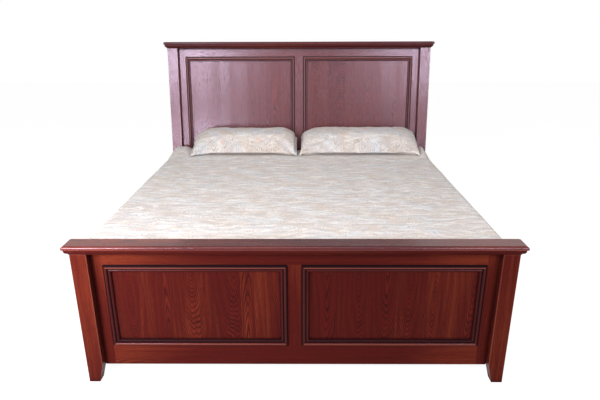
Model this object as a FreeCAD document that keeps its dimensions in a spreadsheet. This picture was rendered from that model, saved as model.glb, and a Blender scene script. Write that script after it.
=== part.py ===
import FreeCAD, Part
import os
import re

import Sketcher

# Panel bed in stained oak: a raked headboard and a low footboard of framed panels between square
# posts, side rails that hook onto the posts, slats over a centre beam, a mattress in a fitted cover
# and two pillows in flanged cases.
# Millimetres. X to the right, Y from foot to head, Z up. The origin is on the floor, at the middle.

driving = {
    # the bed as a whole
    "over_posts_width": 2000,
    "rail_length": 2044,  # between the foot posts and the head posts
    # posts
    "post_width": 75,
    "post_depth": 75,
    "foot_post_top": 672,
    "taper_height": 105,  # the inner faces of each foot draw in below this
    "taper_inset": 23,
    "glide_height": 4,
    "glide_radius": 12,
    "post_ease": 1.5,  # chamfer on the long edges
    # headboard: upright up to the bend, then leaning back
    "lean": 7.5,  # degrees
    "bend_height": 450,
    "head_frame_height": 1006,  # along the lean
    "head_bottom_rail": 150,
    "head_top_rail": 57,
    # footboard
    "foot_clearance": 76,
    "foot_bottom_rail": 104,
    "foot_top_rail": 69,
    # frame and panels
    "frame_setback": 45,  # from the post's front face
    "frame_thickness": 26,
    "stile_width": 50,
    "centre_stile_width": 62,
    "tongue_thickness": 8,  # also the thickness of the panels
    "tongue_length": 10,
    "groove_spare": 1,  # room at the bottom of a groove
    "joint_gap": 0.2,  # on each cheek of a tongue
    # panel moulding, from the frame inwards: a quirk, a raised bead, a small bead
    "quirk_width": 5,
    "quirk_depth": 3,  # below the frame's face
    "bead_width": 14,
    "bead_rise": 7,  # above the frame's face, before its round
    "bead_radius": 7.4,
    "valley_width": 4,
    "valley_rise": 2,
    "small_bead_width": 8,
    "small_bead_rise": 4,
    "small_bead_radius": 4.6,
    "moulding_edge": 2,
    # cap: a rail over the posts, a cove round it and a board with a rounded nose
    "cap_rail_height": 25,
    "cap_thickness": 19,
    "cap_overhang": 24,
    "cap_back_overhang": 4,
    "cap_step": 1.5,  # the board's raised field
    "cap_step_inset": 12,
    "nose_top_radius": 9,
    "nose_bottom_radius": 5,
    "cove_projection": 17,
    "cove_lip": 4,
    "cove_foot_projection": 3,
    "cove_foot_height": 4,
    "cove_radius": 17,
    # side rails, ledgers and their brackets
    "rail_thickness": 22,
    "rail_height": 200,
    "rail_top": 400,
    "rail_inset": 4,  # from the post's outer face
    "ledger_height": 38,
    "ledger_thickness": 25,
    "ledger_end_gap": 75,
    "plate_thickness": 2.5,
    "plate_height": 120,
    "hook_plate_length": 55,
    "hook_plate_middle": 300,  # above the floor
    "hook_spacing": 64,
    "hook_reach": 12,
    "hook_neck": 17,
    "hook_drop": 9,
    "hook_clearance": 0.5,
    "receiver_width": 20,
    "slot_spare": 5,  # room above a hook, to lift the rail out
    "slot_gap": 0.75,
    "mortise_depth": 16,
    # slats and centre beam
    "slat_seat": 20,  # the slats lie this far below the top of the rails
    "slat_width": 89,
    "slat_thickness": 19,
    "slat_side_gap": 2,
    "slat_end_gap": 80,
    "slat_count": 10,
    "beam_width": 38,
    "beam_height": 70,
    "beam_end_gap": 20,
    "leg_side": 45,
    "leg_count": 3,
    "leg_end_gap": 260,
    "leveller_radius": 16,
    "leveller_pad": 8,
    "stud_radius": 5,
    "stud_gap": 0.2,
    "stud_grip": 45,  # in the leg
    "leg_clearance": 20,  # floor to the wood of a leg
    # bedding
    "mattress_height": 304,
    "mattress_side_gap": 11,  # to the side rails
    "mattress_foot_gap": 11,
    "mattress_head_gap": 9,
    "mattress_corner_radius": 60,
    "mattress_top_radius": 38,
    "mattress_base_ease": 15,
    "cover_thickness": 4,
    "cover_hem": 25,  # above the base of the mattress
    "pillow_length": 760,  # the filled pocket
    "pillow_depth": 286,
    "pillow_draw_in": 10,
    "pillow_crown": 126,
    "pillow_belly": 48,
    "pillow_squareness": 2.6,  # power of the curve along which crown and belly run out
    "pillow_end_share": 0.06,  # of crown and belly, at the end seams
    "flange_end_share": 0.02,
    "case_thickness": 8,
    "flange_side": 45,
    "flange_front": 13,
    "pillow_left_middle": 413,
    "pillow_right_middle": 452,
    "pillow_past_posts": 53,  # the back flange lies this far past the head posts' front
    "pillow_lift": 0.4,  # clear of the cover
}

derived = {
    "half_width": "over_posts_width / 2",
    "post_inner": "half_width - post_width",
    "stile_inner": "post_inner - stile_width",
    "half_centre": "centre_stile_width / 2",
    "tongue_front": "frame_setback + (frame_thickness - tongue_thickness) / 2",
    "groove_front": "tongue_front - joint_gap",
    "groove_width": "tongue_thickness + 2 * joint_gap",
    "groove_depth": "tongue_length + groove_spare",
    "panel_recess": "(frame_thickness - tongue_thickness) / 2",
    "bead_start": "quirk_width",
    "bead_end": "bead_start + bead_width",
    "small_bead_start": "bead_end + valley_width",
    "small_bead_end": "small_bead_start + small_bead_width",
    "moulding_width": "small_bead_end + moulding_edge",
    "head_front": "post_depth + rail_length",
    "cap_depth": "cap_overhang + post_depth + cap_back_overhang",
    "head_cap_top": "head_frame_height + cap_rail_height + cap_thickness",
    "head_reach": "(post_depth + cap_back_overhang) * cos(lean) + head_cap_top * sin(lean)",
    "front": "(cap_overhang - head_front - head_reach) / 2",
    "rail_outer": "half_width - rail_inset",
    "rail_inner": "rail_outer - rail_thickness",
    "hook_gap": "plate_thickness + hook_clearance",
    "hook_half": "hook_spacing / 2",
    "hook_height": "hook_neck + hook_drop",
    "plate_middle": "rail_inner - plate_thickness / 2",
    "slat_top": "rail_top - slat_seat",
    "slat_bottom": "slat_top - slat_thickness",
    "slat_pitch": "(rail_length - 2 * slat_end_gap - slat_width) / (slat_count - 1)",
    "leg_pitch": "(rail_length - 2 * leg_end_gap - leg_side) / (leg_count - 1)",
    "beam_bottom": "slat_bottom - beam_height",
    "mattress_front": "post_depth + mattress_foot_gap",
    "mattress_width": "2 * (rail_inner - mattress_side_gap)",
    "mattress_length": "rail_length - mattress_foot_gap - mattress_head_gap",
    "cover_top": "slat_top + mattress_height + cover_thickness",
}

doc = FreeCAD.newDocument("panel_bed")
sheet = doc.addObject("Spreadsheet::Sheet", "Sizes")
words = {**driving, **derived}
for row, (word, size) in enumerate(words.items(), start=1):
    sheet.set(f"A{row}", word)
    sheet.setAlias(f"B{row}", word)
    sheet.set(f"B{row}", f"={size}" if isinstance(size, str) else str(size))
doc.recompute()

parts = []


def bound(text):
    """The expression that reads the words of text from the sheet."""
    return re.sub(r"[a-z]\w*", lambda found: f"Sizes.{found[0]}" if found[0] in words else found[0], text)


def value(text):
    """What the expression comes to, in millimetres or degrees."""
    return float(sheet.evalExpression(text))


def bind(thing, **texts):
    """Bind properties to expressions; two underscores stand for a dot."""
    for name, text in texts.items():
        thing.setExpression(name.replace("__", "."), bound(text))


def stand(thing, place):
    """Put a piece where its end of the bed is: foot, head or lean (in the headboard's leaning plane)."""
    if place == "lean":
        thing.Placement.Rotation = FreeCAD.Rotation(FreeCAD.Vector(1, 0, 0), -value("lean"))
        bind(thing, Placement__Rotation__Angle="-lean", Placement__Base__z="bend_height")
    base = "front" if place == "foot" else "front + head_front"
    bind(thing, Placement__Base__y=base)


def new_body(label, place=None):
    """An empty body; with a place it is a sub-part of its own."""
    body = doc.addObject("PartDesign::Body", label)
    body.Label = label
    if place:
        stand(body, place)
        parts.append(body)
    return body


def block(body, x, y, z, cut=False):
    """Add or cut a box; x, y and z are each a start and a length."""
    made = body.newObject("PartDesign::SubtractiveBox" if cut else "PartDesign::AdditiveBox", "block")
    bind(made, Placement__Base__x=x[0], Placement__Base__y=y[0], Placement__Base__z=z[0])
    bind(made, Length=x[1], Width=y[1], Height=z[1])
    return made


def across(side, near, far):
    """The start and length of a span between two distances from the middle, on one side of it."""
    return (near if side > 0 else f"-({far})", f"({far}) - ({near})")


def into(face, inwards, depth):
    """The start and length of a span that goes from a face, forwards (1) or back (-1) along Y."""
    return (face if inwards > 0 else f"{face} - {depth}", depth)


def origin_plane(body, role):
    return [plane for plane in body.Origin.OriginFeatures if plane.Role == role][0]


def outline(body, plane, corners, offset="0"):
    """A closed sketch through corners; a third word gives the radius of the arc that leads to a corner.

    A positive radius bulges to the right of the way from corner to corner, a negative one to the left.
    """
    sketch = body.newObject("Sketcher::SketchObject", "outline")
    sketch.AttachmentSupport = (origin_plane(body, plane), [""])
    sketch.MapMode = "FlatFace"
    bind(sketch, AttachmentOffset__Base__z=offset)
    points = [FreeCAD.Vector(value(corner[0]), value(corner[1]), 0) for corner in corners]
    ends = []
    for index, corner in enumerate(corners):
        start, end = points[index - 1], points[index]
        if len(corner) == 2:
            sketch.addGeometry(Part.LineSegment(start, end), False)
            ends.append((1, 2))
            continue
        radius = value(corner[2])
        half = (end - start).Length / 2
        along = (end - start).normalize()
        sagitta = abs(radius) - (radius * radius - half * half) ** 0.5
        side = FreeCAD.Vector(along.y, -along.x, 0) * (sagitta if radius > 0 else -sagitta)
        sketch.addGeometry(Part.Arc(start, (start + end) / 2 + side, end), False)
        ends.append((1, 2) if radius > 0 else (2, 1))
    for index, corner in enumerate(corners):
        following = (index + 1) % len(corners)
        last, first = ends[index][1], ends[following][0]
        sketch.addConstraint(Sketcher.Constraint("Coincident", index, last, following, first))
        for axis, text in (("X", corner[0]), ("Y", corner[1])):
            size = value(text)
            number = sketch.addConstraint(Sketcher.Constraint(f"Distance{axis}", -1, 1, index, last, size))
            sketch.setExpression(f"Constraints[{number}]", bound(text))
        if len(corner) == 3:
            number = sketch.addConstraint(Sketcher.Constraint("Radius", index, abs(value(corner[2]))))
            sketch.setExpression(f"Constraints[{number}]", bound(f"abs({corner[2]})"))
    return sketch


def pad(body, sketch, length, both_ways=False):
    made = body.newObject("PartDesign::Pad", "pad")
    made.Profile = sketch
    made.SideType = "Symmetric" if both_ways else "One side"
    bind(made, Length=length)
    return made


def cut_through(body, sketch):
    made = body.newObject("PartDesign::Pocket", "pocket")
    made.Profile = sketch
    made.SideType = "Symmetric"
    made.Type = "ThroughAll"
    return made


def dress_edges(body, wanted, kind, **sizes):
    """Fillet or chamfer the edges of the body that the test picks."""
    doc.recompute()
    base = body.Tip
    names = [f"Edge{i}" for i, edge in enumerate(base.Shape.Edges, start=1) if wanted(edge)]
    made = body.newObject(f"PartDesign::{kind}", kind)
    made.Base = (base, names)
    bind(made, **sizes)


def round_edges(body, wanted, radius):
    dress_edges(body, wanted, "Fillet", Radius=radius)


def rod(body, middle, radius, length, cut=False):
    """Add or cut an upright cylinder that stands on its middle point."""
    made = body.newObject("PartDesign::SubtractiveCylinder" if cut else "PartDesign::AdditiveCylinder", "rod")
    x, y, z = middle
    bind(made, Placement__Base__x=x, Placement__Base__y=y, Placement__Base__z=z, Radius=radius, Height=length)


def is_at(edge, axis, place):
    """Whether the whole edge lies at one place along an axis."""
    box = edge.BoundBox
    low, high = getattr(box, f"{axis}Min"), getattr(box, f"{axis}Max")
    return abs(low - place) < 0.01 and abs(high - place) < 0.01


# Posts


def ease_post(body):
    """Chamfer the long edges of a post."""
    tall = value("taper_height")
    dress_edges(body, lambda edge: edge.BoundBox.ZLength > tall, "Chamfer", Size="post_ease")


def taper_inner_foot(body, side):
    """Draw in the inner face of a post's foot."""
    inner = f"{side} * post_inner"
    corners = [
        (inner, "taper_height"),
        (inner, "glide_height"),
        (f"{side} * (post_inner + taper_inset)", "glide_height"),
    ]
    cut_through(body, outline(body, "XZ_Plane", corners))


def rail_mortise(body, side, face, inwards):
    """Let a receiver plate into a post, with room behind it for the hooks of a side rail."""
    recess = across(side, "plate_middle - receiver_width / 2", "plate_middle + receiver_width / 2")
    low = "hook_plate_middle - plate_height / 2"
    block(body, recess, into(face, inwards, "plate_thickness"), (low, "plate_height"), cut=True)
    pocket = across(side, "plate_middle - 1.5 * plate_thickness", "plate_middle + 1.5 * plate_thickness")
    height = "hook_spacing + 2 * hook_height"
    tall = (f"hook_plate_middle - ({height}) / 2", height)
    block(body, pocket, into(face, inwards, "mortise_depth"), tall, cut=True)


def foot_post(label, side):
    body = new_body(label, "foot")
    corners = [
        ("0", "glide_height"),
        ("post_depth - taper_inset", "glide_height"),
        ("post_depth", "taper_height"),
        ("post_depth", "foot_post_top"),
        ("0", "foot_post_top"),
    ]
    start = "post_inner" if side > 0 else "-half_width"
    pad(body, outline(body, "YZ_Plane", corners, start), "post_width")
    ease_post(body)
    taper_inner_foot(body, side)
    groove = across(side, "post_inner", "post_inner + groove_depth")
    block(body, groove, ("groove_front", "groove_width"), ("foot_clearance", "foot_post_top"), cut=True)
    rail_mortise(body, side, "post_depth", -1)


def head_post(label, side):
    body = new_body(label, "head")
    back_bend = "bend_height - post_depth * tan(lean / 2)"
    corners = [
        ("taper_inset", "glide_height"),
        ("post_depth", "glide_height"),
        ("post_depth", back_bend),
        (
            "post_depth * cos(lean) + head_frame_height * sin(lean)",
            "bend_height - post_depth * sin(lean) + head_frame_height * cos(lean)",
        ),
        ("head_frame_height * sin(lean)", "bend_height + head_frame_height * cos(lean)"),
        ("0", "bend_height"),
        ("0", "taper_height"),
    ]
    start = "post_inner" if side > 0 else "-half_width"
    pad(body, outline(body, "YZ_Plane", corners, start), "post_width")
    ease_post(body)
    taper_inner_foot(body, side)
    groove = block(
        body,
        across(side, "post_inner", "post_inner + groove_depth"),
        ("groove_front * cos(lean)", "groove_width"),
        ("bend_height - groove_front * sin(lean)", "head_cap_top"),
        cut=True,
    )
    groove.Placement.Rotation = FreeCAD.Rotation(FreeCAD.Vector(1, 0, 0), -value("lean"))
    bind(groove, Placement__Rotation__Angle="-lean")
    rail_mortise(body, side, "0", 1)


# Frame and panels of one end; low and high are the bottom and top of its frame


def stile(label, place, side, low, high):
    body = new_body(label, place)
    tall = (low, f"({high}) - ({low})")
    block(body, across(side, "stile_inner", "post_inner"), ("frame_setback", "frame_thickness"), tall)
    tongue = across(side, "post_inner", "post_inner + tongue_length")
    block(body, tongue, ("tongue_front", "tongue_thickness"), tall)
    groove = across(side, "stile_inner", "stile_inner + groove_depth")
    block(body, groove, ("groove_front", "groove_width"), tall, cut=True)


def frame_rail(label, place, low, height, groove_above):
    """A rail between the stiles, with a stub tenon at each end and a groove for the panels."""
    body = new_body(label, place)
    block(body, ("-stile_inner", "2 * stile_inner"), ("frame_setback", "frame_thickness"), (low, height))
    tenon_low = low if groove_above else f"{low} + groove_depth"
    tenon_length = "2 * (stile_inner + tongue_length)"
    block(
        body,
        (f"-({tenon_length}) / 2", tenon_length),
        ("tongue_front", "tongue_thickness"),
        (tenon_low, f"{height} - groove_depth"),
    )
    groove_low = f"{low} + {height} - groove_depth" if groove_above else low
    block(
        body,
        ("-stile_inner", "2 * stile_inner"),
        ("groove_front", "groove_width"),
        (groove_low, "groove_depth"),
        cut=True,
    )


def centre_stile(label, place, low, high):
    body = new_body(label, place)
    tall = (low, f"({high}) - ({low})")
    block(body, ("-half_centre", "2 * half_centre"), ("frame_setback", "frame_thickness"), tall)
    block(
        body,
        ("-half_centre + groove_depth", "2 * (half_centre - groove_depth)"),
        ("tongue_front", "tongue_thickness"),
        (f"{low} - tongue_length", f"({high}) - ({low}) + 2 * tongue_length"),
    )
    for side in (-1, 1):
        groove = across(side, "half_centre - groove_depth", "half_centre")
        block(body, groove, ("groove_front", "groove_width"), tall, cut=True)


def panel(label, place, side, low, high):
    """A flat panel that stands on the bottom of its groove, with room to move at the other edges."""
    body = new_body(label, place)
    wide = across(side, "half_centre - tongue_length", "stile_inner + tongue_length")
    tall = (f"{low} - groove_depth", f"({high}) - ({low}) + groove_depth + tongue_length")
    block(body, wide, ("tongue_front", "tongue_thickness"), tall)


def moulding_length(label, length):
    """One mitred length, lying along X: its outer edge at the top, its back at the panel's face."""
    body = new_body(label)
    section = [
        ("0", "0"),
        ("quirk_depth - panel_recess", "0"),
        ("quirk_depth - panel_recess", "-quirk_width"),
        ("-panel_recess - bead_rise", "-bead_start"),
        ("-panel_recess - bead_rise", "-bead_end", "bead_radius"),
        ("-panel_recess - valley_rise", "-bead_end"),
        ("-panel_recess - valley_rise", "-small_bead_start"),
        ("-panel_recess - small_bead_rise", "-small_bead_start"),
        ("-panel_recess - small_bead_rise", "-small_bead_end", "small_bead_radius"),
        ("-panel_recess - valley_rise", "-small_bead_end"),
        ("-panel_recess - valley_rise", "-moulding_width"),
        ("0", "-moulding_width"),
    ]
    pad(body, outline(body, "YZ_Plane", section), length, both_ways=True)
    for side in (-1, 1):
        end = f"{side} * ({length}) / 2"
        inner = f"{end} - {side} * moulding_width"
        mitre = [(end, "0"), (end, "-moulding_width"), (inner, "-moulding_width")]
        cut_through(body, outline(body, "XZ_Plane", mitre))
    return body


def turn(body, angle, x, z):
    """Turn a length in the plane of its frame and put its middle in place."""
    body.Placement.Rotation = FreeCAD.Rotation(FreeCAD.Vector(0, 1, 0), angle)
    bind(body, Placement__Base__x=x, Placement__Base__y="tongue_front", Placement__Base__z=z)
    return body


def group(label, place, pieces):
    """A node of several solids."""
    made = doc.addObject("Part::Compound", label)
    made.Label = label
    made.Links = pieces
    stand(made, place)
    parts.append(made)
    return made


def panel_moulding(label, place, side, low, high):
    """Four mitred lengths round one panel."""
    wide = "stile_inner - half_centre"
    tall = f"({high}) - ({low})"
    middle_x = f"{side} * (stile_inner + half_centre) / 2"
    middle_z = f"(({high}) + ({low})) / 2"
    pieces = [
        turn(moulding_length(label + "_top", wide), 0, middle_x, high),
        turn(moulding_length(label + "_bottom", wide), 180, middle_x, low),
        turn(moulding_length(label + "_right", tall), 90, f"{middle_x} + ({wide}) / 2", middle_z),
        turn(moulding_length(label + "_left", tall), -90, f"{middle_x} - ({wide}) / 2", middle_z),
    ]
    group(label, place, pieces)


# Cap of one end, over the posts; low is the top of the posts


def cap_rail(label, place, low):
    body = new_body(label, place)
    block(body, ("-half_width", "2 * half_width"), ("0", "post_depth"), (low, "cap_rail_height"))


def cap_board(label, place, low):
    body = new_body(label, place)
    floor = f"{low} + cap_rail_height"
    wide = "2 * (half_width + cap_overhang)"
    board = (f"-({wide}) / 2", wide)
    thick = "cap_thickness - cap_step"
    block(body, board, ("-cap_overhang", "cap_depth"), (floor, thick))
    face = -value("cap_overhang")
    end = value("half_width + cap_overhang")

    def at_nose(edge):
        return is_at(edge, "Y", face) or is_at(edge, "X", end) or is_at(edge, "X", -end)

    top, bottom = value(f"{floor} + {thick}"), value(floor)
    round_edges(body, lambda edge: is_at(edge, "Z", top) and at_nose(edge), "nose_top_radius")
    round_edges(body, lambda edge: is_at(edge, "Z", bottom) and at_nose(edge), "nose_bottom_radius")
    field = f"{wide} - 2 * cap_step_inset"
    deep = ("cap_step_inset - cap_overhang", "cap_depth - cap_step_inset")
    block(body, (f"-({field}) / 2", field), deep, (floor, "cap_thickness"))


def cove_corners(out):
    """The cove's section: out is the sign of the way that it projects."""
    bulge = "cove_radius" if out > 0 else "-cove_radius"
    return [
        ("0", "0"),
        ("0", "cap_rail_height"),
        (f"{out} * cove_projection", "cap_rail_height"),
        (f"{out} * cove_projection", "cap_rail_height - cove_lip"),
        (f"{out} * cove_foot_projection", "cove_foot_height", f"-({bulge})"),
        (f"{out} * cove_foot_projection", "0"),
    ]


def cove_moulding(label, place, low):
    """A front length and two returned ends, mitred at the front corners."""
    front_length = new_body(label + "_front")
    long = "2 * (half_width + cove_projection)"
    pad(front_length, outline(front_length, "YZ_Plane", cove_corners(-1)), long, both_ways=True)
    bind(front_length, Placement__Base__z=low)
    pieces = [front_length]
    for side in (-1, 1):
        corner = (f"{side} * half_width", "0")
        tip = (f"{side} * (half_width + cove_projection)", "-cove_projection")
        behind = (tip[0], "0")
        cut_through(front_length, outline(front_length, "XY_Plane", [corner, tip, behind]))
        end_length = new_body(label + "_end")
        deep = "post_depth + cove_projection"
        pad(end_length, outline(end_length, "XZ_Plane", cove_corners(side), "-post_depth"), deep)
        tip = (f"{side} * cove_projection", "-cove_projection")
        before = ("0", "-cove_projection")
        cut_through(end_length, outline(end_length, "XY_Plane", [("0", "0"), tip, before]))
        bind(end_length, Placement__Base__x=corner[0], Placement__Base__z=low)
        pieces.append(end_length)
    group(label, place, pieces)


def bed_end(name, place, low, high, bottom_rail, top_rail):
    """The frame, panels, mouldings and cap of a headboard or footboard."""
    opening_low = f"{low} + {bottom_rail}"
    opening_high = f"{high} - {top_rail}"
    for word, side in (("left", -1), ("right", 1)):
        stile(f"{name}_stile_{word}", place, side, low, high)
        panel(f"{name}_panel_{word}", place, side, opening_low, opening_high)
        panel_moulding(f"{name}_moulding_{word}", place, side, opening_low, opening_high)
    frame_rail(f"{name}_bottom_rail", place, low, bottom_rail, groove_above=True)
    frame_rail(f"{name}_top_rail", place, opening_high, top_rail, groove_above=False)
    centre_stile(f"{name}_centre_stile", place, opening_low, opening_high)
    cap_rail(f"{name}_cap_rail", place, high)
    cap_board(f"{name}_cap_board", place, high)
    cove_moulding(f"{name}_cove_moulding", place, high)


# Side rails, their brackets and what they carry


def side_rail(label, side):
    body = new_body(label, "foot")
    tall = ("rail_top - rail_height", "rail_height")
    block(body, across(side, "rail_inner", "rail_outer"), ("post_depth", "rail_length"), tall)


def ledger(label, side):
    body = new_body(label, "foot")
    wide = across(side, "rail_inner - ledger_thickness", "rail_inner")
    long = ("post_depth + ledger_end_gap", "rail_length - 2 * ledger_end_gap")
    block(body, wide, long, ("slat_bottom - ledger_height", "ledger_height"))


def hook_plate(side, inwards):
    """A plate on the inner face at the end of a rail, with two hooks that drop into a post."""
    body = new_body("hook_plate")
    face = "post_depth" if inwards < 0 else "head_front"

    def point(depth, z):
        return (f"{face} + {inwards} * ({depth})", f"hook_plate_middle + {z}")

    corners = [point("-hook_plate_length", "-plate_height / 2"), point("0", "-plate_height / 2")]
    for sign in (-1, 1):
        seat = f"{sign} * hook_half - hook_neck / 2"
        corners += [
            point("0", seat),
            point("hook_gap", seat),
            point("hook_gap", f"{seat} - hook_drop"),
            point("hook_reach", f"{seat} - hook_drop"),
            point("hook_reach", f"{seat} + hook_neck"),
            point("0", f"{seat} + hook_neck"),
        ]
    corners += [point("0", "plate_height / 2"), point("-hook_plate_length", "plate_height / 2")]
    start = "rail_inner - plate_thickness" if side > 0 else "-rail_inner"
    pad(body, outline(body, "YZ_Plane", corners, start), "plate_thickness")
    return body


def receiver_plate(side, inwards):
    """A plate let into a post, with a slot for each hook."""
    body = new_body("receiver_plate")
    face = "post_depth" if inwards < 0 else "head_front"
    deep = into(face, inwards, "plate_thickness")
    wide = across(side, "plate_middle - receiver_width / 2", "plate_middle + receiver_width / 2")
    block(body, wide, deep, ("hook_plate_middle - plate_height / 2", "plate_height"))
    half_slot = "(plate_thickness / 2 + slot_gap)"
    slot = across(side, f"plate_middle - {half_slot}", f"plate_middle + {half_slot}")
    for sign in (-1, 1):
        low = f"hook_plate_middle + {sign} * hook_half - hook_neck / 2"
        block(body, slot, deep, (low, "hook_height + slot_spare"), cut=True)
    return body


def slat(number):
    body = new_body(f"slat_{number + 1}", "foot")
    long = "2 * (rail_inner - slat_side_gap)"
    start = f"post_depth + slat_end_gap + {number} * slat_pitch"
    block(body, (f"-({long}) / 2", long), (start, "slat_width"), ("slat_bottom", "slat_thickness"))


def centre_beam():
    body = new_body("centre_beam", "foot")
    long = ("post_depth + beam_end_gap", "rail_length - 2 * beam_end_gap")
    block(body, ("-beam_width / 2", "beam_width"), long, ("beam_bottom", "beam_height"))


def leg_middle(number):
    return f"post_depth + leg_end_gap + leg_side / 2 + {number} * leg_pitch"


def centre_leg(number):
    body = new_body(f"centre_leg_{number + 1}", "foot")
    deep = (f"{leg_middle(number)} - leg_side / 2", "leg_side")
    block(body, ("-leg_side / 2", "leg_side"), deep, ("leg_clearance", "beam_bottom - leg_clearance"))
    hole = ("0", leg_middle(number), "leg_clearance")
    rod(body, hole, "stud_radius + stud_gap", "stud_grip", cut=True)


def leveller(number):
    """A round pad on a threaded stud that the leg stands on."""
    body = new_body("leveller")
    base = ("0", leg_middle(number), "0")
    rod(body, base, "leveller_radius", "leveller_pad")
    rod(body, base, "stud_radius", "leg_clearance + stud_grip")
    return body


def glide(side, middle_y):
    """A disc under the foot of a post."""
    body = new_body("glide")
    middle_x = f"{side} * (half_width - (post_width - taper_inset) / 2)"
    rod(body, (middle_x, middle_y, "0"), "glide_radius", "glide_height")
    return body


# Bedding


def padded_block(body, grow, low, height):
    """A block as wide and long as the mattress, grown all round, with its upright and top edges rounded."""
    wide = f"mattress_width + 2 * ({grow})"
    long = f"mattress_length + 2 * ({grow})"
    block(body, (f"-({wide}) / 2", wide), (f"mattress_front - ({grow})", long), (low, height))
    tall, top = value(height), value(f"{low} + {height}")
    corner, rim = f"mattress_corner_radius + ({grow})", f"mattress_top_radius + ({grow})"
    round_edges(body, lambda edge: abs(edge.BoundBox.ZLength - tall) < 0.01, corner)
    round_edges(body, lambda edge: is_at(edge, "Z", top), rim)


def mattress():
    body = new_body("mattress", "foot")
    padded_block(body, "0", "slat_top", "mattress_height")
    base = value("slat_top")
    dress_edges(body, lambda edge: is_at(edge, "Z", base), "Chamfer", Size="mattress_base_ease")
    return body


def fitted_sheet(core):
    """A sheet over the top and sides of the mattress, open below, as thick as its quilting."""
    form = new_body("sheet_form")
    stand(form, "foot")
    low = "slat_top + cover_hem"
    padded_block(form, "cover_thickness", low, "mattress_height + cover_thickness - cover_hem")
    made = doc.addObject("Part::Cut", "fitted_sheet")
    made.Label = "fitted_sheet"
    made.Base = form
    made.Tool = core
    parts.append(made)


def pillow_section(body, x, fullness, half_depth):
    """One section across a pillow: the filled pocket between its front and back flanges."""
    crown, belly = (f"(pillow_{word} * {fullness:.4f})" for word in ("crown", "belly"))
    half = "case_thickness / 2"
    tip = f"({half_depth}) + flange_front"
    over, under = (f"(({half_depth})^2 + {rise}^2) / (2 * {rise})" for rise in (crown, belly))
    corners = [
        (f"-({tip})", f"-{half}"),
        (f"-({half_depth})", f"-{half}"),
        (half_depth, f"-{half}", under),
        (tip, f"-{half}"),
        (tip, half),
        (half_depth, half),
        (f"-({half_depth})", half, over),
        (f"-({tip})", half),
    ]
    return outline(body, "YZ_Plane", corners, x)


def pillow(label, middle):
    """A plump pillow with drawn-in sides, in a case with a flat flange all round."""
    body = new_body(label, "foot")
    power, least = driving["pillow_squareness"], driving["pillow_end_share"]
    flange_end = "(pillow_length / 2 + flange_side)"
    half_shares = (0, 0.35, 0.5, 0.6, 0.69, 0.77, 0.84, 0.9, 0.95, 1)  # closer where the crown falls
    shares = [-share for share in half_shares[:0:-1]] + list(half_shares)
    ends = [
        pillow_section(body, f"{side} * {flange_end}", driving["flange_end_share"], "pillow_depth / 2")
        for side in (-1, 1)
    ]
    sections = []
    for share in shares:
        fullness = max((1 - abs(share) ** power) ** 0.5, least)
        half_depth = f"pillow_depth / 2 - pillow_draw_in * {1 - share * share:.4f}"
        sections.append(pillow_section(body, f"{share} * pillow_length / 2", fullness, half_depth))
    sections = [ends[0], *sections, ends[1]]
    loft = body.newObject("PartDesign::AdditiveLoft", "loft")
    loft.Profile = sections[0]
    loft.Sections = sections[1:]
    loft.Ruled = True
    bind(
        body,
        Placement__Base__x=middle,
        Placement__Base__y="front + head_front + pillow_past_posts - flange_front - pillow_depth / 2",
        Placement__Base__z="cover_top + pillow_lift + pillow_belly + case_thickness / 2",
    )


# The whole bed

for word, side in (("left", -1), ("right", 1)):
    foot_post(f"foot_post_{word}", side)
    head_post(f"head_post_{word}", side)
    side_rail(f"side_rail_{word}", side)
    ledger(f"slat_ledger_{word}", side)
bed_end("foot", "foot", "foot_clearance", "foot_post_top", "foot_bottom_rail", "foot_top_rail")
bed_end("head", "lean", "0", "head_frame_height", "head_bottom_rail", "head_top_rail")
corners = [(side, inwards) for side in (-1, 1) for inwards in (-1, 1)]
group("rail_hook_plates", "foot", [hook_plate(*corner) for corner in corners])
group("rail_receiver_plates", "foot", [receiver_plate(*corner) for corner in corners])
foot_middle = "(post_depth - taper_inset) / 2"
head_middle = f"head_front + taper_inset + {foot_middle}"
middles = [(side, middle) for side in (-1, 1) for middle in (foot_middle, head_middle)]
group("post_glides", "foot", [glide(*middle) for middle in middles])
for number in range(driving["slat_count"]):
    slat(number)
centre_beam()
legs = range(driving["leg_count"])
for number in legs:
    centre_leg(number)
group("leg_levellers", "foot", [leveller(number) for number in legs])
fitted_sheet(mattress())
pillow("pillow_left", "-pillow_left_middle")
pillow("pillow_right", "pillow_right_middle")

doc.recompute()

# Check and write

for thing in doc.Objects:
    if "Invalid" in thing.State or "Error" in thing.State:
        raise RuntimeError(f"{thing.Label} failed: {thing.State}")
os.makedirs("parts", exist_ok=True)
for part in parts:
    if part.Shape.isNull() or not part.Shape.isValid():
        raise RuntimeError(f"{part.Label} has no valid shape")
    part.Shape.exportStep(f"parts/{part.Label}.step")
print(len(parts), "sub-parts")
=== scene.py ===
import math
import random

import bmesh
import bpy
from mathutils import Euler, Matrix, Vector, noise
from mathutils.kdtree import KDTree


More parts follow.
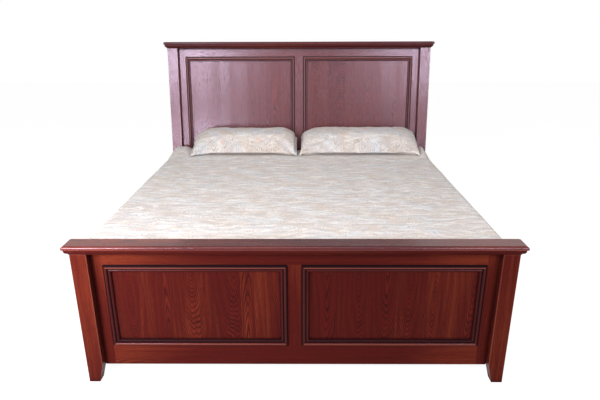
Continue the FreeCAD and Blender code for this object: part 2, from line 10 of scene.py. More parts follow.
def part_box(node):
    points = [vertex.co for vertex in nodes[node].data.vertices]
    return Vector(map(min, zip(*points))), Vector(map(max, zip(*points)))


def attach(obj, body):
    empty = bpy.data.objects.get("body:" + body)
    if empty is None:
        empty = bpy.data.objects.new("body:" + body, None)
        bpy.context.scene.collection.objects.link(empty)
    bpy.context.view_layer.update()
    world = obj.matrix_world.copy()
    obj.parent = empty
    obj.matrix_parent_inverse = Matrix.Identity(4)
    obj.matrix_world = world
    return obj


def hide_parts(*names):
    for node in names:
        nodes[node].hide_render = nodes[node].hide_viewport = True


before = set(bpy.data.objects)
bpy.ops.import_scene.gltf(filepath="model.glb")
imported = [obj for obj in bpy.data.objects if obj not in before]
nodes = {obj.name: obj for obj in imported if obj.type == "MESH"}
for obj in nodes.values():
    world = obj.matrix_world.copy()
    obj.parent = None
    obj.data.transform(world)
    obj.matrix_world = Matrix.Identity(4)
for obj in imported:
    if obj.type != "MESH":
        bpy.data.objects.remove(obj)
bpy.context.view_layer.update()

scene = bpy.context.scene
print("frame loaded:", len(nodes), "nodes")


# small helpers for node trees
def node(tree, kind, inputs=None, **settings):
    made = tree.nodes.new("ShaderNode" + kind)
    for name, value in settings.items():
        setattr(made, name, value)
    feed(tree, made, inputs or {})
    return made


def feed(tree, made, inputs):
    # an input that comes from a node is linked, and a plain value is set
    for name, value in inputs.items():
        if isinstance(value, bpy.types.NodeSocket):
            tree.links.new(value, made.inputs[name])
        else:
            made.inputs[name].default_value = value


def calc(tree, operation, *values, clamp=False):
    return node(tree, "Math", dict(enumerate(values)), operation=operation, use_clamp=clamp).outputs[0]


def spread(tree, value, low, high, toLow=0.0, toHigh=1.0):
    return node(tree, "MapRange", {"Value": value, "From Min": low, "From Max": high, "To Min": toLow,
                                   "To Max": toHigh}, interpolation_type="SMOOTHSTEP").outputs[0]


def between(tree, share, first, second):
    return node(tree, "Mix", {0: share, 2: first, 3: second}, data_type="FLOAT").outputs[0]


def mixed(tree, share, first, second, blend="MIX"):
    # colours go in at the node's sockets 6 and 7 and come out at 2
    full = [(*value, 1.0) if isinstance(value, tuple) and len(value) == 3 else value
            for value in (first, second)]
    return node(tree, "Mix", {0: share, 6: full[0], 7: full[1]}, data_type="RGBA",
                blend_type=blend).outputs[2]


def clouds(tree, vector, size, detail=2.0, roughness=0.5):
    # size is how many clouds fit in a metre along each axis
    scaled = node(tree, "VectorMath", {0: vector, 1: size}, operation="MULTIPLY").outputs[0]
    return node(tree, "TexNoise", {"Vector": scaled, "Scale": 1.0, "Detail": detail,
                                   "Roughness": roughness}).outputs["Fac"]


def emptyTree(owner):
    owner.use_nodes = True
    owner.node_tree.nodes.clear()
    return owner.node_tree


def newMaterial(name):
    made = bpy.data.materials.new(name)
    tree = emptyTree(made)
    shader = node(tree, "BsdfPrincipled")
    node(tree, "OutputMaterial", {"Surface": shader.outputs[0]})
    return made, tree, shader


def dress(obj, material):
    if obj.data.materials:
        for place in range(len(obj.data.materials)):
            obj.data.materials[place] = material
    else:
        obj.data.materials.append(material)


# stained red oak under satin lacquer
oak = {
    "light": (0.165, 0.026, 0.0110),
    "middle": (0.072, 0.0070, 0.0046),
    "dark": (0.020, 0.0030, 0.0032),
    # the glaze colour below also carries painted shade: it darkens recesses, gaps between parts and the
    # moulding's hollows
    "glaze": (0.008, 0.0024, 0.0034),
    # the rubbed colour: worn arrises, and on the moulding beads also a painted highlight
    "rubbed": (0.42, 0.135, 0.095),
    "glazeShare": 0.92,
    "ringSpacing": 0.0044, "wander": 0.030, "ripple": 0.0035, "ringEdge": (0.10, 0.62),
    "bandSpacing": 0.023, "poreEdge": (0.55, 0.68),
    # staves are counted from well beside the panel, and each count draws its own luck
    "staveWidth": 0.141, "stavesBefore": 40, "staveLuck": 90,
    # where the heart of the tree lies from the piece, how the grain tilts, and how far it is shifted
    "heartAcross": 0.08, "heartDeep": (0.05, -0.055), "besideHeart": (0.09, 0.15),
    "staveTilt": 0.40, "straightTilt": (0.02, 0.04), "shiftAcross": 0.01, "shiftAlong": 0.2,
    # clouds per metre across, through and along the grain
    "wanderSize": (13, 13, 2.6), "rippleSize": (70, 70, 12), "poreSize": (520, 520, 24),
    "streakSize": (75, 75, 2.2), "broadSize": (5, 5, 1.1),
    # how far each of them lightens the stain, and what is taken off to keep its mean
    "staveTone": 0.20, "broadTone": 0.75, "streakTone": 0.90, "toneStart": -0.28,
    "toneEdge": (0.40, 1.00), "endsFrom": 0.25, "endsTo": 0.92,
    # dark lines: rings grow with the streaks, less so in the straight grain outside the panels
    "ringLines": 1.7, "panelRings": -0.28, "straightRings": -0.45,
    "panelBands": 0.20, "straightBands": 0.10, "poreLines": 0.36,
    "crestAt": 0.0125, "crestReach": (0.0060, 0.0025), "arrisReach": (0.0055, 0.0015),
    "wearEdge": (0.25, 0.6), "leastWear": 0.35, "rubbedGloss": -0.35,
    "recessEdge": (0.85, 0.35), "recessRays": 6, "glazeFade": (0.001, -0.0008),
    "broadRoughness": 0.10, "poreRoughness": 0.15, "glazeRoughness": 0.45,
    "poreRelief": -0.6, "ringRelief": -0.4, "relief": 0.0006, "bump": 0.25,
    # the lavender tint of the lacquer's reflections is a painted colour of the lamps' light
    "lacquerTint": (0.88, 0.76, 1.0),
}
# specular level, roughness, how far arrises are rubbed pale and beads carry a painted highlight, reach of the
# glaze with painted shade, tone, and how much paler a rail's ends are painted, as if lit there, or for
# mouldings how far the upright lengths share in the bead's painted highlight
lacquer = {
    "foot": (0.05, 0.34, 0.0, 0.018, 0.0, 0.50), "footPost": (0.05, 0.34, 0.22, 0.060, -0.07, 0.0),
    "footPanel": (0.05, 0.34, 0.0, 0.020, -0.14, 0.0), "footMoulding": (0.11, 0.20, 0.20, 0.0, -0.1, 0.05),
    "footBottom": (0.05, 0.34, 0.0, 0.018, -0.13, 0.60), "headBottom": (0.80, 0.245, 0.10, 0.016, 0.18, 0.0),
    # the foot's cove is toned darkest and glazed over its height: painted shade under the cap's nose
    "footCove": (0.05, 0.50, 0.0, 0.090, -0.25, 0.0), "footCap": (0.36, 0.20, 0.25, 0.020, 0.05, 0.4),
    "head": (0.80, 0.245, 0.10, 0.016, 0.18, 0.0), "headPost": (0.75, 0.245, 0.20, 0.026, 0.15, 0.0),
    "headPanel": (0.62, 0.255, 0.0, 0.005, 0.26, 0.0), "headMoulding": (0.60, 0.24, 0.50, 0.0, 0.1, 1.0),
    "headCove": (0.20, 0.40, 0.0, 0.040, -0.1, 0.0), "headCap": (0.30, 0.32, 0.30, 0.020, -0.1, 0.0),
}
# painted shade with glaze: dark bands on the moulding, laid differently on top, bottom and upright lengths as
# shade falls there
mouldingGlazeAndShadeBands = {  # dark bands by their distance from the opening's edge, and how dark
    "upright": ((-0.002, 0.0085, 0.95), (0.0170, 0.0245, 0.95), (0.005, 0.034, 0.45)),
    "top": ((-0.002, 0.0100, 1.0), (0.0180, 0.0240, 1.0), (0.0305, 0.036, 0.8)),
    "bottom": ((-0.002, 0.0040, 1.0), (0.0180, 0.0360, 0.9)),
}
# the headboard leans back from a bend in its posts
headLean = math.radians(7.5)
headBend = Vector((0, 0.96381, 0.450))
turns = {
    "up": Euler((0, 0, 0)),
    "leaning": Euler((headLean, 0, 0)),
    "across": Euler((0, -math.pi / 2, 0)),
    "acrossLeaning": Euler((headLean, -math.pi / 2, 0)),
    "lengthwise": Euler((math.pi / 2, 0, 0)),
}


def grainPattern(tree, vector, luck, staves=None):
    # vector has the grain along Z and the middle of the piece at its origin; a panel is glued from
    # staves sawn near the heart, and other pieces are sawn well beside it, so their grain is straight
    x, y, z = node(tree, "SeparateXYZ", {"Vector": vector}).outputs
    if staves:
        place = calc(tree, "ADD", calc(tree, "DIVIDE", x, staves), luck.random() + oak["stavesBefore"])
        index = calc(tree, "FLOOR", place)
        local = calc(tree, "MULTIPLY", calc(tree, "SUBTRACT", calc(tree, "FRACT", place), 0.5), staves)
        chance = node(tree, "TexWhiteNoise", {
            "W": calc(tree, "ADD", index, luck.random() * oak["staveLuck"])}, noise_dimensions="1D")
        a, b, c = node(tree, "SeparateColor", {"Color": chance.outputs["Color"]}).outputs
    else:
        local = x
        a, b, c = luck.random(), luck.random(), luck.random()
    beside = 0.0 if staves else luck.choice((-1, 1)) * luck.uniform(*oak["besideHeart"])
    sideways = calc(tree, "ADD", local, calc(tree, "MULTIPLY_ADD", a, oak["heartAcross"],
                                             beside - oak["heartAcross"] / 2))
    if staves:
        tilt = calc(tree, "MULTIPLY_ADD", b, oak["staveTilt"], -oak["staveTilt"] / 2)
    else:
        tilt = luck.uniform(*oak["straightTilt"])
    deep = calc(tree, "ADD", y, calc(tree, "MULTIPLY_ADD", z, tilt,
                                     calc(tree, "MULTIPLY_ADD", c, *oak["heartDeep"])))
    wander = clouds(tree, vector, oak["wanderSize"], 1.0)
    ripple = clouds(tree, vector, oak["rippleSize"], 1.0)
    ring = calc(tree, "SQRT", calc(tree, "ADD", calc(tree, "MULTIPLY", sideways, sideways),
                                   calc(tree, "MULTIPLY", deep, deep)))
    ring = calc(tree, "ADD", ring, calc(tree, "MULTIPLY", wander, oak["wander"]))
    ring = calc(tree, "ADD", ring, calc(tree, "MULTIPLY", ripple, oak["ripple"]))
    phase = calc(tree, "FRACT", calc(tree, "DIVIDE", ring, oak["ringSpacing"]))
    rings = calc(tree, "SUBTRACT", 1.0, spread(tree, phase, *oak["ringEdge"]))
    bands = calc(tree, "MULTIPLY_ADD", calc(tree, "SINE", calc(
        tree, "MULTIPLY", ring, math.tau / oak["bandSpacing"])), 0.5, 0.5)
    pores = spread(tree, clouds(tree, vector, oak["poreSize"], 2.0, 0.6), *oak["poreEdge"])
    streaks = clouds(tree, vector, oak["streakSize"], 3.0, 0.6)
    broad = clouds(tree, vector, oak["broadSize"], 2.0)
    return {"rings": rings, "bands": bands, "pores": pores, "streaks": streaks, "broad": broad,
            "stave": a if staves else 0.5}


def turnedBox(name, turn):
    # lowest and highest corner of a node in the turned frame
    spots = [turns[turn].to_matrix() @ v.co for v in nodes[name].data.vertices]
    return [[pick(spot[i] for spot in spots) for i in range(3)] for pick in (min, max)]


def mouldingGlazeAndShade(tree, across, upright, upper):
    # painted shade with glaze: the hollows of the moulding are darkened, at other widths on upright, top and
    # bottom lengths, as shade falls on each
    darkness = {}
    for length, bands in mouldingGlazeAndShadeBands.items():
        darkness[length] = 0.0
        for inner, outer, most in bands:
            middle, half = (inner + outer) / 2, (outer - inner) / 2
            away = calc(tree, "ABSOLUTE", calc(tree, "SUBTRACT", across, middle))
            start, end = (half + fade for fade in oak["glazeFade"])
            darkness[length] = calc(tree, "MAXIMUM", darkness[length],
                                    spread(tree, away, start, end, 0.0, most))
    lying = between(tree, upper, darkness["bottom"], darkness["top"])
    return between(tree, upright, lying, darkness["upright"])


def arrises(tree, name, turn, spot):
    # where two faces of the piece meet
    near = []
    for value, least, most in zip(spot, *turnedBox(name, turn)):
        gap = calc(tree, "MINIMUM", calc(tree, "SUBTRACT", value, least),
                   calc(tree, "SUBTRACT", most, value))
        near.append(spread(tree, gap, *oak["arrisReach"]))
    pairs = [calc(tree, "MULTIPLY", near[i], near[j]) for i, j in ((0, 1), (1, 2), (0, 2))]
    return calc(tree, "MAXIMUM", pairs[0], calc(tree, "MAXIMUM", pairs[1], pairs[2]))


def stainedOak(name, luck, finish, staves=None, opening=None):
    made, tree, shader = newMaterial("stained oak " + name)
    gloss, roughness, wearAndHighlight, reach, shift, share = finish
    coords = node(tree, "TexCoord").outputs["Object"]
    turn = turnOf(name)

    def turned(how):
        low, high = turnedBox(name, how)
        middle = Vector([(a + b) / 2 for a, b in zip(low, high)])
        sideways, along = (luck.uniform(-most, most) for most in (oak["shiftAcross"], oak["shiftAlong"]))
        place = Vector((sideways, 0, along)) - middle
        return node(tree, "Mapping", {"Vector": coords, "Rotation": turns[how], "Location": place}).outputs[0]

    vector = turned(turn)
    flat = node(tree, "Mapping", {"Vector": coords, "Rotation": turns[turn]}).outputs[0]
    spot = list(node(tree, "SeparateXYZ", {"Vector": flat}).outputs)
    x, z = spot[0], spot[2]
    if opening:  # four mitred lengths: upright ones where the side edges are nearer
        lying = turned({"leaning": "acrossLeaning", "up": "across"}[turn])
        left, right, low, high = opening
        side = calc(tree, "MINIMUM", calc(tree, "SUBTRACT", x, left), calc(tree, "SUBTRACT", right, x))
        end = calc(tree, "MINIMUM", calc(tree, "SUBTRACT", z, low), calc(tree, "SUBTRACT", high, z))
        upright = calc(tree, "LESS_THAN", side, end)
        upper = calc(tree, "GREATER_THAN", z, (low + high) / 2)
        vector = node(tree, "Mix", {0: upright, 4: lying, 5: vector}, data_type="VECTOR").outputs[1]
        across = calc(tree, "MINIMUM", side, end)
        glaze = mouldingGlazeAndShade(tree, across, upright, upper)
    else:
        # painted shade with glaze: ambient occlusion darkens recesses and gaps between parts, such as a
        # post's side beside the frame
        recess = node(tree, "AmbientOcclusion", {"Distance": reach}, samples=oak["recessRays"])
        glaze = spread(tree, recess.outputs["AO"], *oak["recessEdge"])
    grain = grainPattern(tree, vector, luck, staves)
    tone = calc(tree, "MULTIPLY_ADD", grain["stave"], oak["staveTone"], shift + oak["toneStart"])
    tone = calc(tree, "ADD", tone, calc(tree, "MULTIPLY", grain["broad"], oak["broadTone"]))
    tone = calc(tree, "ADD", tone, calc(tree, "MULTIPLY", grain["streaks"], oak["streakTone"]))
    if share and not opening:  # painted light: the long rails are paler towards their ends, as if lit there, and darker in the middle
        tone = calc(tree, "ADD", tone, spread(tree, calc(tree, "ABSOLUTE", z), oak["endsFrom"],
                                              oak["endsTo"], -0.5 * share, 0.5 * share))
    colour = mixed(tree, spread(tree, tone, *oak["toneEdge"]), oak["middle"], oak["light"])
    kind = "panel" if staves else "straight"
    lines = calc(tree, "MULTIPLY", grain["rings"], calc(
        tree, "MULTIPLY_ADD", grain["streaks"], oak["ringLines"], oak[kind + "Rings"]))
    lines = calc(tree, "ADD", lines, calc(tree, "MULTIPLY", grain["bands"], oak[kind + "Bands"]))
    lines = calc(tree, "ADD", lines, calc(tree, "MULTIPLY", grain["pores"], oak["poreLines"]), clamp=True)
    colour = mixed(tree, lines, colour, oak["dark"])
    if opening:  # crest of the bead
        # the bead's crest is worn pale with a painted highlight; the upright lengths get only their share of
        # it
        away = calc(tree, "ABSOLUTE", calc(tree, "SUBTRACT", across, oak["crestAt"]))
        worn = calc(tree, "MULTIPLY", spread(tree, away, *oak["crestReach"]), calc(
            tree, "MULTIPLY_ADD", upright, share * wearAndHighlight - wearAndHighlight, wearAndHighlight))
        colour = mixed(tree, worn, colour, oak["rubbed"])
    elif wearAndHighlight:
        worn = calc(tree, "MULTIPLY", arrises(tree, name, turn, spot),
                    spread(tree, grain["broad"], *oak["wearEdge"], oak["leastWear"] * wearAndHighlight, wearAndHighlight))
        colour = mixed(tree, worn, colour, oak["rubbed"])
        roughness = calc(tree, "MULTIPLY_ADD", worn, oak["rubbedGloss"], roughness)
    # the glaze colour with its painted shade goes over the grain
    colour = mixed(tree, calc(tree, "MULTIPLY", glaze, oak["glazeShare"]), colour, oak["glaze"])
    rough = calc(tree, "MULTIPLY_ADD", grain["broad"], oak["broadRoughness"],
                 calc(tree, "SUBTRACT", roughness, oak["broadRoughness"] / 2))
    rough = calc(tree, "MULTIPLY_ADD", grain["pores"], oak["poreRoughness"], rough)
    rough = calc(tree, "MULTIPLY_ADD", glaze, oak["glazeRoughness"], rough)
    height = calc(tree, "MULTIPLY_ADD", grain["pores"], oak["poreRelief"],
                  calc(tree, "MULTIPLY", grain["rings"], oak["ringRelief"]))
    bump = node(tree, "Bump", {"Height": height, "Strength": oak["bump"], "Distance": oak["relief"]})
    feed(tree, shader, {
        "Base Color": colour, "Roughness": rough, "Normal": bump.outputs[0],
        "Specular IOR Level": gloss, "Specular Tint": (*oak["lacquerTint"], 1.0)})
    return made


# planed wood inside the frame, steel and plastic
plain = {
    "pale": (0.66, 0.47, 0.28), "warm": (0.50, 0.31, 0.16), "ringLines": (0.9, 0.1), "poreLines": 0.18,
    "broadEdge": (0.35, 0.7), "broadShare": 0.35, "shiftAcross": 0.01, "shiftAlong": 1,
    "roughness": 0.58, "poreRoughness": 0.1, "gloss": 0.3, "bump": 0.2, "relief": 0.0005,
}


def plainWood(name, turn, middle, luck):
    made, tree, shader = newMaterial(name)
    base = turns[turn].to_matrix() @ middle
    coords = node(tree, "TexCoord").outputs["Object"]
    along = luck.uniform(-plain["shiftAlong"], plain["shiftAlong"])
    place = Vector((plain["shiftAcross"], 0, along)) - base
    vector = node(tree, "Mapping", {"Vector": coords, "Rotation": turns[turn], "Location": place})
    grain = grainPattern(tree, vector.outputs[0], luck)
    lines = calc(tree, "MULTIPLY", grain["rings"],
                 calc(tree, "MULTIPLY_ADD", grain["streaks"], *plain["ringLines"]))
    lines = calc(tree, "ADD", lines, calc(tree, "MULTIPLY", grain["pores"], plain["poreLines"]), clamp=True)
    colour = mixed(tree, lines, plain["pale"], plain["warm"])
    broad = spread(tree, grain["broad"], *plain["broadEdge"], 0.0, plain["broadShare"])
    colour = mixed(tree, broad, colour, plain["warm"])
    bump = node(tree, "Bump", {"Height": calc(tree, "MULTIPLY", grain["rings"], -1.0),
                               "Strength": plain["bump"], "Distance": plain["relief"]})
    rough = calc(tree, "MULTIPLY_ADD", grain["pores"], plain["poreRoughness"], plain["roughness"])
    feed(tree, shader, {"Base Color": colour, "Normal": bump.outputs[0], "Roughness": rough,
                        "Specular IOR Level": plain["gloss"]})
    return made


zinc = {
    "dull": (0.50, 0.50, 0.52), "bright": (0.66, 0.66, 0.66), "brushedSize": (900, 900, 40),
    "spangleSize": (60, 60, 60), "spangleEdge": (0.3, 0.7), "roughness": 0.26, "brushedRoughness": 0.22,
    "bump": 0.12, "relief": 0.0002,
}
glide = {
    "dark": (0.055, 0.05, 0.045), "worn": (0.10, 0.09, 0.08), "fineSize": (700, 700, 700),
    "wornSize": (70, 70, 70), "wornEdge": (0.4, 0.7), "roughness": 0.45, "wornRoughness": 0.2,
    "bump": 0.3, "relief": 0.0002,
}


def zincSteel():
    made, tree, shader = newMaterial("zinc plated steel")
    coords = node(tree, "TexCoord").outputs["Object"]
    brushed = clouds(tree, coords, zinc["brushedSize"], 2.0, 0.6)
    spangle = clouds(tree, coords, zinc["spangleSize"], 3.0, 0.6)
    colour = mixed(tree, spread(tree, spangle, *zinc["spangleEdge"]), zinc["dull"], zinc["bright"])
    rough = calc(tree, "MULTIPLY_ADD", brushed, zinc["brushedRoughness"], zinc["roughness"])
    bump = node(tree, "Bump", {"Height": brushed, "Strength": zinc["bump"], "Distance": zinc["relief"]})
    feed(tree, shader, {"Base Color": colour, "Roughness": rough, "Normal": bump.outputs[0],
                        "Metallic": 1.0})
    return made


def glidePlastic():
    made, tree, shader = newMaterial("glide plastic")
    coords = node(tree, "TexCoord").outputs["Object"]
    fine = clouds(tree, coords, glide["fineSize"], 2.0)
    worn = clouds(tree, coords, glide["wornSize"], 3.0)
    colour = mixed(tree, spread(tree, worn, *glide["wornEdge"]), glide["dark"], glide["worn"])
    rough = calc(tree, "MULTIPLY_ADD", worn, glide["wornRoughness"], glide["roughness"])
    bump = node(tree, "Bump", {"Height": fine, "Strength": glide["bump"], "Distance": glide["relief"]})
    feed(tree, shader, {"Base Color": colour, "Roughness": rough, "Normal": bump.outputs[0]})
    return made


steel, plastic = zincSteel(), glidePlastic()
openings = {  # sides of a panel's opening, and its heights, on the headboard along the lean from the bend
    "left": (-0.875, -0.031), "right": (0.031, 0.875), "foot": (0.180, 0.603), "head": (0.150, 0.949),
}


def turnOf(name):
    if name.startswith(("side_rail", "slat_ledger", "centre_beam")):
        return "lengthwise"
    if name.startswith("slat_"):
        return "across"
    across = any(word in name for word in ("_rail", "cap_", "cove"))
    if name.startswith("head_"):
        return "acrossLeaning" if across else "leaning"
    return "across" if across else "up"


def finishOf(name):
    if name.startswith("side_rail"):
        return lacquer["footPost"]
    kinds = ("cove", "moulding", "cap", "panel", "post", "bottom")
    kind = next((kind for kind in kinds if "_" + kind + "_" in name), "")
    return lacquer[name[:4] + kind.capitalize()]


def openingOf(name):
    board, side = name[:4], name.rsplit("_", 1)[1]
    # heights count from the world's origin, as those of the turned vector do
    rise = (turns["leaning"].to_matrix() @ headBend).z if board == "head" else 0.0
    return *openings[side], *(height + rise for height in openings[board])


for name in nodes:
    luck = random.Random(name)
    if name.startswith(("rail_", "leg_levellers")):
        dress(nodes[name], steel)
    elif name == "post_glides":
        dress(nodes[name], plastic)
    elif name.startswith(("slat_", "centre_")):
        low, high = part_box(name)
        dress(nodes[name], plainWood("planed wood " + name, turnOf(name), (low + high) / 2, luck))
    elif name.startswith(("head_", "foot_", "side_rail")):
        staves = oak["staveWidth"] if "_panel_" in name else None
        opening = openingOf(name) if "_moulding_" in name else None
        dress(nodes[name], stainedOak(name, luck, finishOf(name), staves, opening))
print("wood, steel and plastic finished")


# mattress
mattressPlan = {
    "halfWidth": 0.965, "foot": -1.0672, "head": 0.9528, "bottom": 0.380, "top": 0.6975,
    "corner": 0.056, "edge": 0.028, "lowerEdge": 0.015, "edgeSteps": 6,
    "pipe": 0.005, "pipeRise": 0.012, "pipeProud": 0.0005, "pipeSides": 8, "pipeSteps": 8, "merge": 0.0001,
    "stripe": 0.018, "lineAt": 0.012, "linePale": (0.80, 0.77, 0.70), "lineDark": (0.44, 0.46, 0.50),
    "lineEdge": (0.0006, 0.0014), "lineShare": 0.7, "weave": (0.62, 0.59, 0.52), "weaveShare": 0.25,
    "weaveSize": (900, 900, 900), "bump": 0.4, "relief": 0.0005, "roughness": 0.85, "gloss": 0.2,
    "sheen": 0.15,
}


def ticking():
    plan = mattressPlan
    made, tree, shader = newMaterial("mattress ticking")
    coords = node(tree, "TexCoord").outputs["Object"]
    place = node(tree, "SeparateXYZ", {"Vector": coords}).outputs
    stripe = calc(tree, "PINGPONG", calc(tree, "ADD", place["X"], place["Y"]), plan["stripe"])
    away = calc(tree, "ABSOLUTE", calc(tree, "SUBTRACT", stripe, plan["lineAt"]))
    lines = calc(tree, "SUBTRACT", 1.0, spread(tree, away, *plan["lineEdge"]))
    weave = clouds(tree, coords, plan["weaveSize"], 1.0)
    colour = mixed(tree, calc(tree, "MULTIPLY", lines, plan["lineShare"]), plan["linePale"],
                   plan["lineDark"])
    colour = mixed(tree, calc(tree, "MULTIPLY", weave, plan["weaveShare"]), colour, plan["weave"])
    bump = node(tree, "Bump", {"Height": weave, "Strength": plan["bump"], "Distance": plan["relief"]})
    feed(tree, shader, {"Base Color": colour, "Normal": bump.outputs[0], "Roughness": plan["roughness"],
                        "Specular IOR Level": plan["gloss"], "Sheen Weight": plan["sheen"]})
    return made


def addPiece(name, work, material, body):
    mesh = bpy.data.meshes.new(name)
    work.to_mesh(mesh)
    work.free()
    obj = bpy.data.objects.new(name, mesh)
    scene.collection.objects.link(obj)
    mesh.materials.append(material)
    for face in mesh.polygons:
        face.use_smooth = True
    if body:
        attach(obj, body)
    return obj


def mattressBody():
    plan = mattressPlan
    low = Vector((-plan["halfWidth"], plan["foot"], plan["bottom"]))
    high = Vector((plan["halfWidth"], plan["head"], plan["top"]))
    rounded = {"segments": plan["edgeSteps"], "profile": 0.5, "affect": "EDGES", "material": -1}
    work = bmesh.new()
    bmesh.ops.create_cube(work, size=1.0)
    size = high - low
    for vert in work.verts:
        vert.co = Vector(((low[i] + high[i]) / 2 + vert.co[i] * size[i] for i in range(3)))
    upright = [e for e in work.edges if abs(e.verts[0].co.z - e.verts[1].co.z) > 0.01]
    bmesh.ops.bevel(work, geom=upright, offset=plan["corner"], **rounded)
    for level, amount in ((high.z, plan["edge"]), (low.z, plan["lowerEdge"])):
        rim = [e for e in work.edges if all(abs(v.co.z - level) < 1e-5 for v in e.verts)]
        bmesh.ops.bevel(work, geom=rim, offset=amount, **rounded)
    return work


def mattressPiping():
    # a ring is turned round each corner and drawn straight to the next one
    plan = mattressPlan
    inset = plan["halfWidth"] - plan["corner"]
    ends = plan["head"] - plan["corner"], plan["foot"] + plan["corner"]
    level = plan["bottom"] + plan["pipe"] + plan["pipeRise"]
    centres = [Vector((x, y, level)) for x, y in (
        (inset, ends[0]), (-inset, ends[0]), (-inset, ends[1]), (inset, ends[1]))]
    start = centres[0] + Vector((plan["corner"] + plan["pipeProud"], 0, 0))
    work = bmesh.new()
    bmesh.ops.create_circle(work, segments=plan["pipeSides"], radius=plan["pipe"] / 2,
                            matrix=Matrix.Translation(start) @ Matrix.Rotation(math.pi / 2, 4, "X"))
    ring = work.edges[:]
    for centre, after in zip(centres, centres[1:] + centres[:1]):
        turned = bmesh.ops.spin(work, geom=ring, cent=centre, axis=(0, 0, 1), angle=math.pi / 2,
                                steps=plan["pipeSteps"])
        ring = [g for g in turned["geom_last"] if isinstance(g, bmesh.types.BMEdge)]
        drawn = bmesh.ops.extrude_edge_only(work, edges=ring)["geom"]
        fresh = {g for g in drawn if isinstance(g, bmesh.types.BMVert)}
        bmesh.ops.translate(work, verts=list(fresh), vec=after - centre)
        ring = [g for g in drawn if isinstance(g, bmesh.types.BMEdge) and fresh.issuperset(g.verts)]
    bmesh.ops.remove_doubles(work, verts=work.verts, dist=plan["merge"])
    bmesh.ops.recalc_face_normals(work, faces=work.faces)
    return work


tickingCloth = ticking()
mattress = addPiece("mattress_body", mattressBody(), tickingCloth, "mattress")
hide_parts("mattress")
piping = addPiece("mattress_piping", mattressPiping(), tickingCloth, "mattress")
print("mattress made")

# screw heads on the rail brackets and along the slat ledgers
screwPlan = {
    "profile": ((0.0, 0.0012), (0.0014, 0.0012), (0.0018, 0.0025), (0.0036, 0.0021), (0.0048, 0.0)),
    "sides": 14, "merge": 0.00001, "ledgerScrews": 8,
    "plateFace": 0.9715, "plateEnds": (-1.0527, 0.9363), "plateMiddle": 0.300,
    "plateSpread": (0.0155, 0.046),
}


def screwHead(work, place, outward):
    # its profile is turned round the screw's axis
    turnTo = Vector((0, 0, 1)).rotation_difference(outward).to_matrix()
    spots = [work.verts.new(place + turnTo @ Vector((reach, 0, rise)))
             for reach, rise in screwPlan["profile"]]
    edges = [work.edges.new(pair) for pair in zip(spots, spots[1:])]
    bmesh.ops.spin(work, geom=spots + edges, cent=place, axis=outward, angle=math.tau,
                   steps=screwPlan["sides"], use_merge=True)


def screws(side):
    work = bmesh.new()
    outward = Vector((-side, 0, 0))
    low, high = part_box("slat_ledger_left" if side < 0 else "slat_ledger_right")
    face = high.x if side < 0 else low.x
    for index in range(screwPlan["ledgerScrews"]):
        along = low.y + (high.y - low.y) * (index + 0.5) / screwPlan["ledgerScrews"]
        screwHead(work, Vector((face, along, (low.z + high.z) / 2)), outward)
    along, rise = screwPlan["plateSpread"]
    for end in screwPlan["plateEnds"]:
        for y in (end - along, end + along):
            for z in (screwPlan["plateMiddle"] - rise, screwPlan["plateMiddle"] + rise):
                screwHead(work, Vector((side * screwPlan["plateFace"], y, z)), outward)
    bmesh.ops.remove_doubles(work, verts=work.verts, dist=screwPlan["merge"])
    return work


for side, name in ((-1, "rail_screws_left"), (1, "rail_screws_right")):
    addPiece(name, screws(side), steel, "bed_frame")
print("screws made")


# printed cotton of the sheet and the pillow cases, on the cloth's own UV map in metres
printed = {
    "ground": (0.735, 0.680, 0.660), "coolWhite": (0.72, 0.745, 0.785), "blueGrey": (0.40, 0.42, 0.49),
    "peach": (0.80, 0.50, 0.37), "sand": (0.655, 0.555, 0.485), "line": (0.42, 0.335, 0.30),
    # shadow and gleam: painted shade and painted highlight along the cloth's rumples
    "shadow": (0.50, 0.465, 0.460), "gleam": (0.86, 0.84, 0.83),
    # drops, florets and dots in a metre, rings and petals in each, and how they scatter and fade out
    "drops": 10.5, "florets": 34.0, "dots": 85.0, "rings": 52.0, "petals": 17.0,
    "dropScatter": 0.8, "dotScatter": 0.6, "dropVaries": 0.12, "dropEdge": (0.56, 0.48),
    "ringEdge": (0.0, 0.9), "heartEdge": (0.23, 0.14), "dotEdge": (0.42, 0.26), "petalEdge": (0.1, 0.8),
    "coolEdge": (0.46, 0.60), "sandEdge": (0.40, 0.62), "sandShare": 0.75,
    "darkThread": (0.47, 0.62), "paleThread": (0.47, 0.36),
    # which of the drops have brown rings, blue rings and a peach heart
    "brown": (0.3, 0.6), "blue": (0.6, 0.3), "ripe": (0.25, 0.5),
    # how much each ink covers
    "coolInk": 0.75, "petalInk": 0.75, "brownInk": 0.72, "blueInk": 0.62, "dotInk": 0.75,
    "warp": 0.11, "warpSize": 7.0, "threads": (9, 36, 1), "threadBump": 0.5, "threadDepth": 0.005,
    "weave": 7000.0, "weaveBump": 0.25, "weaveDepth": 0.0003,
    "roughness": 0.8, "gloss": 0.15, "sheen": 0.2, "sheenRoughness": 0.5,
    # strength, painted light level (the sheet's print lightened, the case's darkened, as their light
    # differs), size of the cool patches, peach hearts, and painted shade and highlight streaks along the
    # rumples
    "sheet": (0.80, 1.10, (5.0, 8.5, 1), 0.45, 0.72), "case": (1.0, 0.91, (4.5, 6.5, 1), 0.7, 0.45),
}


